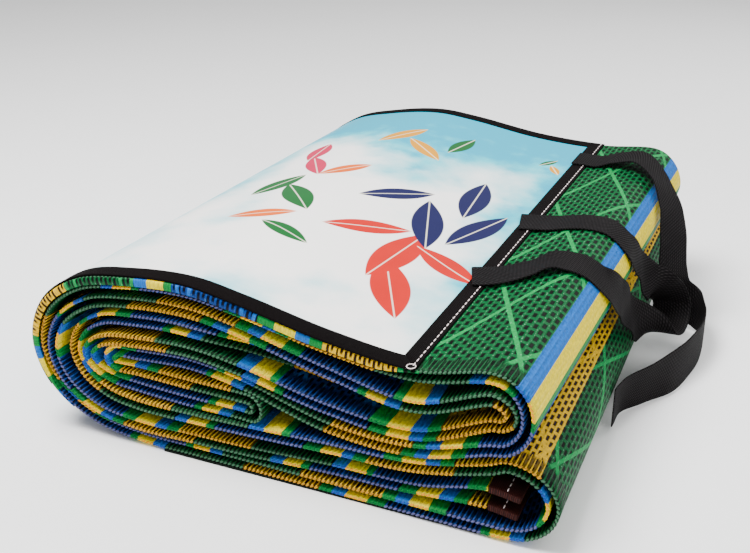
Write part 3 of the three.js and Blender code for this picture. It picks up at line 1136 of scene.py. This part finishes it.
@dataclass
class BoundEnd:
    """The dark tape that binds the mat's end, with its stitch line."""

    packet: Packet
    thick: float = 8.4
    columns: int = 8
    stitching: StitchLine = StitchLine(5, 30, 9.5, (7, 1.3, 1.0))
    uv_step: tuple[float, float] = (0.03, 0.004)
    edge_round: float = 2.4
    tape_breadth: float = 0.036

    def build(self, tape: bpy.types.Material, thread: bpy.types.Material) -> None:
        """Make the bound end and its stitches.

        Args:
            tape: Finish of the tape.
            thread: Finish of the stitches.
        """
        packet = self.packet
        last = packet.at("second.right")
        places = [last * i / self.columns for i in range(self.columns + 1)]
        sections = [packet.section(t) for t in places]
        rows = len(sections[0]) - 1

        def point_at(i: int, j: int) -> Vector:
            y, offset = sections[i][j]
            return packet.place(places[i], y, offset)

        piece = cloth("end_binding", (self.columns, rows), point_at,
                      lambda i, j: (j * self.uv_step[0], i * self.uv_step[1]), tape, self.thick)
        bevel = piece.modifiers.new("edge", "BEVEL")
        bevel.width = self.edge_round * MM
        bevel.segments = 3
        bevel.limit_method = "ANGLE"
        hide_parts("end_tape")
        stitches = self._stitches(thread)

    def _stitches(self, thread: bpy.types.Material) -> bpy.types.Object:
        """Make a line of stitches along the middle of the tape on both plies."""
        packet = self.packet
        stitches = Copies("end_binding_stitches")
        t = packet.at("second.right") * 0.5
        for side in Side:
            offset = side.value * packet.ply_half(t) - self.thick / 2
            self.stitching.sew(stitches, 0, packet.depth,
                               lambda y, height, low=offset: packet.place(t, y, low - height))
        return stitches.build(thread)


@dataclass
class Label:
    """The printed sheet sewn on the packet's top, with its tape edging and stitches."""

    packet: Packet
    thick: float = 1.4
    edging_top: float = 2.7
    edging_thick: float = 0.9
    near: float = 2
    back: float = 8
    hem: float = 22
    side: float = 20
    end_side: float = 8
    end_step: float = 4
    stitch_inset: float = 3.6
    stitching: StitchLine = StitchLine(4, 6, 9.2, (7.5, 1.5, 1.1))
    stitch_raise: float = 0.15
    loop_steps: int = 14
    loop_radius: float = 4.6
    loop_size: tuple[float, float, float] = (3.2, 1.1, 1.0)
    loop_raise: float = 0.4
    loop_ahead: float = 0.1
    uv_step: float = 0.0085

    def __post_init__(self) -> None:
        """Tabulate the distance along the label from its right edge."""
        packet = self.packet
        self.start = packet.top_at(0)
        self.end = packet.at("tenth.bend", self.end_step)
        self.places = np.linspace(self.start, self.end, 400)
        self.travel = packet.arc(lambda _: packet.above(1.0), self.places)
        self.length = float(self.travel[-1])
        self.far = packet.depth - self.back

    def on_top(self, distance: float, y: float, height: float) -> Vector:
        """Return a point over the label: distance from its right edge, y, and height above the mat."""
        t = float(np.interp(distance, self.travel, self.places))
        return self.packet.place(t, y, self.packet.above(height))

    def build(self, printed: bpy.types.Material, tape: bpy.types.Material,
              thread: bpy.types.Material) -> None:
        """Make the label, its edging and the stitches.

        Args:
            printed: Finish of the sheet.
            tape: Finish of the edging.
            thread: Finish of the stitches.
        """
        columns, rows, margin = 120, 40, 1.2
        gap = self.packet.gap

        def spread(i: int, j: int) -> tuple[float, float]:
            return (lerp(margin, self.length - margin, i / columns),
                    lerp(self.near + margin, self.far - margin, j / rows))

        def point_at(i: int, j: int) -> Vector:
            return self.on_top(*spread(i, j), gap + self.thick / 2)

        def uv_at(i: int, j: int) -> tuple[float, float]:
            distance, y = spread(i, j)
            return distance * MM, y * MM

        sheet = cloth("label_sheet", (columns, rows), point_at, uv_at, printed, self.thick)
        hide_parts("label_panel")
        edging = self._edging(tape)
        stitches = self._stitches(thread)
        (self.far - self.near) * MM

    def _edging(self, tape: bpy.types.Material) -> bpy.types.Object:
        """Make the tape that is folded over the label's edge, mitred at its corners."""
        outer = [(0, self.near), (0, self.far), (self.length, self.far), (self.length, self.near)]
        inner = [(self.side, self.near + self.hem), (self.side, self.far - self.hem),
                 (self.length - self.end_side, self.far - self.hem),
                 (self.length - self.end_side, self.near + self.hem)]
        steps = (60, 90, 60, 90)
        rim = [(0.0, 0.5), (-0.03, 1.1), (-0.03, 1.8), (0.03, 2.25), (0.5, 2.3), (0.95, 2.25), (1.0, 2.0)]
        ring = [(k, n / count) for k, count in enumerate(steps) for n in range(count)] + [(3, 1.0)]

        def point_at(i: int, j: int) -> Vector:
            corner, share = ring[i]
            following = (corner + 1) % 4
            across, height = rim[j]
            a = [lerp(outer[corner][k], outer[following][k], share) for k in (0, 1)]
            b = [lerp(inner[corner][k], inner[following][k], share) for k in (0, 1)]
            distance, y = lerp(a[0], b[0], across), lerp(a[1], b[1], across)
            distance = min(max(distance, 0.0), self.length)
            return self.on_top(distance, y, height)

        piece = cloth("label_edging", (len(ring) - 1, len(rim) - 1), point_at,
                      lambda i, j: (i * self.uv_step, rim[j][0] * self.hem * MM), tape,
                      self.edging_thick)
        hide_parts("label_binding")
        return piece

    def _stitches(self, thread: bpy.types.Material) -> bpy.types.Object:
        """Make the stitch line along the label's right edge."""
        stitches = Copies("label_stitches")
        height = self.edging_top + self.stitch_raise
        self.stitching.sew(stitches, self.near, self.far,
                           lambda y, rise: self.on_top(self.stitch_inset, y, height + rise))

        def on_loop(angle: float) -> Vector:
            return self.on_top(self.stitch_inset + 1 + self.loop_radius * math.cos(angle),
                               self.near + 2 + self.loop_radius * math.sin(angle), height + self.loop_raise)

        for k in range(self.loop_steps):
            angle = 2 * math.pi * k / self.loop_steps
            spot = on_loop(angle)
            ahead = on_loop(angle + self.loop_ahead) - spot
            stitches.add(frame_matrix(spot, ahead, Vector((0, 0, 1))) @ sized(self.loop_size))
        return stitches.build(thread)


@dataclass
class GroundPanel:
    """The thin backing sheet that shows below the packet."""

    packet: Packet
    left: float = -309
    right: float = 71
    thick: float = 2.3
    inset: float = 3
    uv_step: tuple[float, float] = (0.0047, 0.025)

    def build(self, finish: bpy.types.Material) -> None:
        """Make the sheet."""
        columns, rows, margin, clear = 80, 30, 0.3, 0.1

        def point_at(i: int, j: int) -> Vector:
            x = lerp(self.left + margin, self.right - margin, i / columns)
            y = lerp(self.inset, self.packet.depth - self.inset, j / rows)
            return self.packet.world(x, y, clear + self.thick / 2)

        piece = cloth("ground_panel", (columns, rows), point_at,
                      lambda i, j: (i * self.uv_step[0], j * self.uv_step[1]), finish,
                      self.thick)
        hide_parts("underside_panel")


@dataclass(frozen=True)
class Ride:
    """A point of the webbing that lies on the packet's top."""

    x: float
    y: float
    clear: float


@dataclass(frozen=True)
class Air:
    """A point of the webbing in the air, and the direction of its width."""

    x: float
    y: float
    z: float
    across: tuple[float, float, float] = (0, 1, 0)


FRONT_ROOT, SECOND_ROOT, BACK_ROOT = 231, 407, 667
FRONT_HANDLE = [
    Ride(-22, 223, 3.3), Ride(0, FRONT_ROOT, 4.3), Ride(19, 241, 4.4), Ride(40, 256, 4.8),
    Ride(66, 273, 7), Ride(93, 287, 1.6), Ride(113, 301, 1.4),
    Air(129.5, 335, 138), Air(134, 370, 106), Air(150, 404, 74, (0.5, 0.85, 0)),
    Air(163, 440, 52, (1, 0.1, 0)), Air(166, 478, 50, (1, 0, 0)), Air(164, 500, 68, (1, 0, 0)),
    Air(156, 484, 92, (0.8, 0.5, 0)), Air(141, 456, 114, (0.3, 0.9, 0)), Air(129, 438, 142),
    Ride(112, 422, 1.4), Ride(92, 417, 1.4), Ride(68, 416, 1.4), Ride(40, 415, 2), Ride(20, 411, 2.6),
    Ride(0, SECOND_ROOT, 3.6), Ride(-22, 402, 3.4),
]
BACK_HANDLE = [
    Ride(-22, BACK_ROOT, 3.4), Ride(0, BACK_ROOT, 3.4), Ride(16, 668, 2), Ride(44, 666, 8), Ride(78, 650, 14),
    Ride(100, 628, 12),
    Air(134, 600, 164, (0.3, 0.95, 0)), Air(146, 572, 130, (0.5, 0.85, 0)), Air(152, 556, 92, (0.6, 0.8, 0)),
    Air(158, 566, 56, (0.6, 0.6, 0.5)), Air(177, 575, 37, (0.3, 0.1, 1)), Air(199, 552, 28, (0, 0, 1)),
    Air(208, 505, 27, (0, 0, 1)), Air(205, 445, 27, (-0.1, 0, 1)), Air(190, 380, 27, (-0.25, 0, 1)),
    Air(168, 336, 27, (0, 0, 1)), Air(150, 300, 28, (0.1, 0, 1)), Air(147, 258, 30, (0, 0, 1)),
]


@dataclass
class WebbingHandle:
    """One length of webbing, from its root on the label to its other end."""

    packet: Packet
    name: str
    node: str
    rows: list[Ride | Air]
    width: float = 50
    thick: float = 2
    steps: int = 9

    def _centre(self, row: Ride | Air) -> Vector:
        """Return a row's middle in metres."""
        if isinstance(row, Air):
            return self.packet.world(row.x, row.y, row.z)
        offset = self.packet.above(row.clear + self.thick / 2)
        return self.packet.place(self.packet.top_at(row.x), row.y, offset)

    def _across(self, row: Ride | Air) -> Vector:
        """Return the direction of the width at a row."""
        if isinstance(row, Air):
            return Vector(row.across).normalized()
        t, half, offset = self.packet.top_at(row.x), self.width / 2, self.packet.above(row.clear)
        low, high = (self.packet.place(t, row.y + aside, offset) for aside in (-half, half))
        return (high - low).normalized()

    def build(self, finish: bpy.types.Material) -> None:
        curve = Spline([self._centre(row) for row in self.rows])
        across_at = [self._across(row) for row in self.rows]
        columns = self.steps * (len(self.rows) - 1)
        widths = (-1, -0.94, -0.5, 0, 0.5, 0.94, 1)
        centres = [Vector(curve.point(i / columns)) for i in range(columns + 1)]
        travelled = np.concatenate([[0], np.cumsum([(b - a).length for a, b in zip(centres, centres[1:])])])

        def point_at(i: int, j: int) -> Vector:
            passed = i / self.steps
            row = min(int(passed), len(self.rows) - 2)
            tangent = Vector(curve.tangent(i / columns))
            across = across_at[row].lerp(across_at[row + 1], smooth(passed - row))
            across = (across - tangent * across.dot(tangent)).normalized()
            return centres[i] + across * (widths[j] * self.width / 2 * MM)

        piece = cloth(self.name, (columns, len(widths) - 1), point_at,
                      lambda i, j: (float(travelled[i]), widths[j] * self.width / 2 * MM), finish,
                      self.thick)
        refine(piece)
        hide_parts(self.node)


@dataclass
class Studio:
    """The camera, the lights and the floor."""

    packet: Packet
    eye: tuple[float, float, float] = (378.05, -929.3, 713.6)
    pitch: float = 0.412102465
    yaw: float = 0.424818171
    focal_pixels: float = 1154.16682
    image_width: float = 750
    sensor: float = 36
    world_strength: float = 0.46

    def camera(self) -> None:
        """Make the camera at the photograph's angle."""
        data = bpy.data.cameras.new("camera")
        data.sensor_width = self.sensor
        data.lens = self.focal_pixels * self.sensor / self.image_width
        camera = bpy.data.objects.new("camera", data)
        camera.location = self.packet.world(*self.eye)
        camera.rotation_euler = (math.pi / 2 - self.pitch, 0, self.yaw)
        bpy.context.scene.collection.objects.link(camera)
        bpy.context.scene.camera = camera

    def lights(self) -> None:
        """Make the soft studio lights and the pale surroundings."""
        rows = [  # name, place, size, power
            ("key", (-0.7, -0.6, 2.3), 1.2, 140),
            ("fill", (1.9, -1.4, 1.3), 1.8, 36),
            ("back", (0.9, 1.8, 1.9), 1.5, 44),
        ]
        for name, place, size, power in rows:
            data = bpy.data.lights.new(name, "AREA")
            data.size = size
            data.energy = power
            light = bpy.data.objects.new(name, data)
            light.location = place
            aim = Vector((0, 0, 0.1)) - Vector(place)
            light.rotation_euler = aim.to_track_quat("-Z", "Y").to_euler()
            bpy.context.scene.collection.objects.link(light)
        world = bpy.data.worlds.new("studio")
        world.use_nodes = True
        background = next(node for node in world.node_tree.nodes if node.type == "BACKGROUND")
        background.inputs["Color"].default_value = (1, 1, 1, 1)
        background.inputs["Strength"].default_value = self.world_strength
        bpy.context.scene.world = world

    def floor(self) -> None:
        """Make the floor."""
        mesh = cloth_mesh("floor", 4, 4, lambda i, j: Vector((i * 4 - 8, j * 4 - 8, -0.0002)),
                          lambda i, j: (float(i), float(j)))
        floor = bpy.data.objects.new("floor", mesh)
        mesh.materials.append(FloorFinish().build())
        bpy.context.scene.collection.objects.link(floor)


def main() -> None:
    """Build the camera, the studio and every piece."""
    logging.basicConfig(level=logging.INFO, format="%(name)s: %(message)s")
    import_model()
    low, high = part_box("underside_panel")
    shift = Vector((low.x / MM - GroundPanel.left, low.y / MM - GroundPanel.inset, 0))
    packet = Packet(shift=shift)
    LOG.info("packet shift %s, panel top %.4f", tuple(round(v, 3) for v in shift), high.z)

    studio = Studio(packet)
    studio.camera()
    studio.lights()
    studio.floor()

    weave, twill, leaf = straw_weave_group(), twill_group(), leaf_group()
    webbing = TapeFinish("black_webbing", 0.62).build(twill)
    tape = TapeFinish("edge_tape", 0.7, dark=(2, 1, 1), light=(26, 18, 20), pitch=0.0018, slant=0.0)
    brown = TapeFinish("end_tape_brown", 0.5, dark=(22, 5, 5), light=(84, 40, 34), pitch=0.002)
    backing = TapeFinish("backing_cloth", 0.8, dark=(4, 6, 5), light=(30, 38, 32), pitch=0.003)
    thread = ThreadFinish().build()

    GroundPanel(packet).build(backing.build(twill))
    FoldedMat(packet).build(
        StrawFinish().build(weave), SelvedgeFinish().build(),
        SelvedgeFinish("straw_ends", 0.42, tone=StripeTone.STRAW).build())
    BoundEnd(packet).build(brown.build(twill), thread)
    Label(packet).build(LabelFinish().build(leaf), tape.build(twill), thread)
    WebbingHandle(packet, "front_handle", "handle_front", FRONT_HANDLE).build(webbing)
    WebbingHandle(packet, "back_handle", "handle_back", BACK_HANDLE).build(webbing)


if __name__ == "__main__":
    main()
